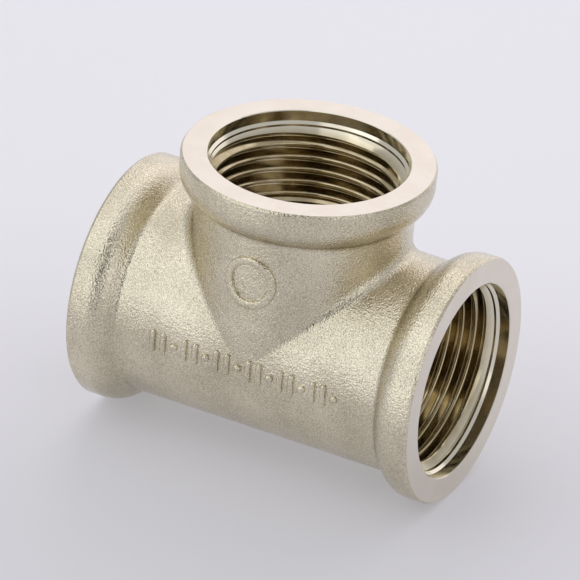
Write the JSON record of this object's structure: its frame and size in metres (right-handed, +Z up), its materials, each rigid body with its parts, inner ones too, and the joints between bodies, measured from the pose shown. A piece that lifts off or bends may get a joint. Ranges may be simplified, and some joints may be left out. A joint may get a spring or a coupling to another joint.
{
  "type": "threaded tee",
  "caption": "Equal threaded pipe tee: a forged and nickel-plated brass body with a straight run, a branch at right angles and a collar round each tapped mouth.",
  "frame": {"origin": "on the surface that the tee stands on, straight below the point where the axes of the run and the branch cross", "axes": "+X along the run, +Z up along the branch, towards its mouth"},
  "size_m": [0.064, 0.0426, 0.0532],
  "materials": {
    "nickel_plate": "satin nickel plate over blasted brass, with smooth machined faces and threads"
  },
  "bodies": {
    "root": {"tee_body": "nickel_plate"}
  },
  "joints": []
}
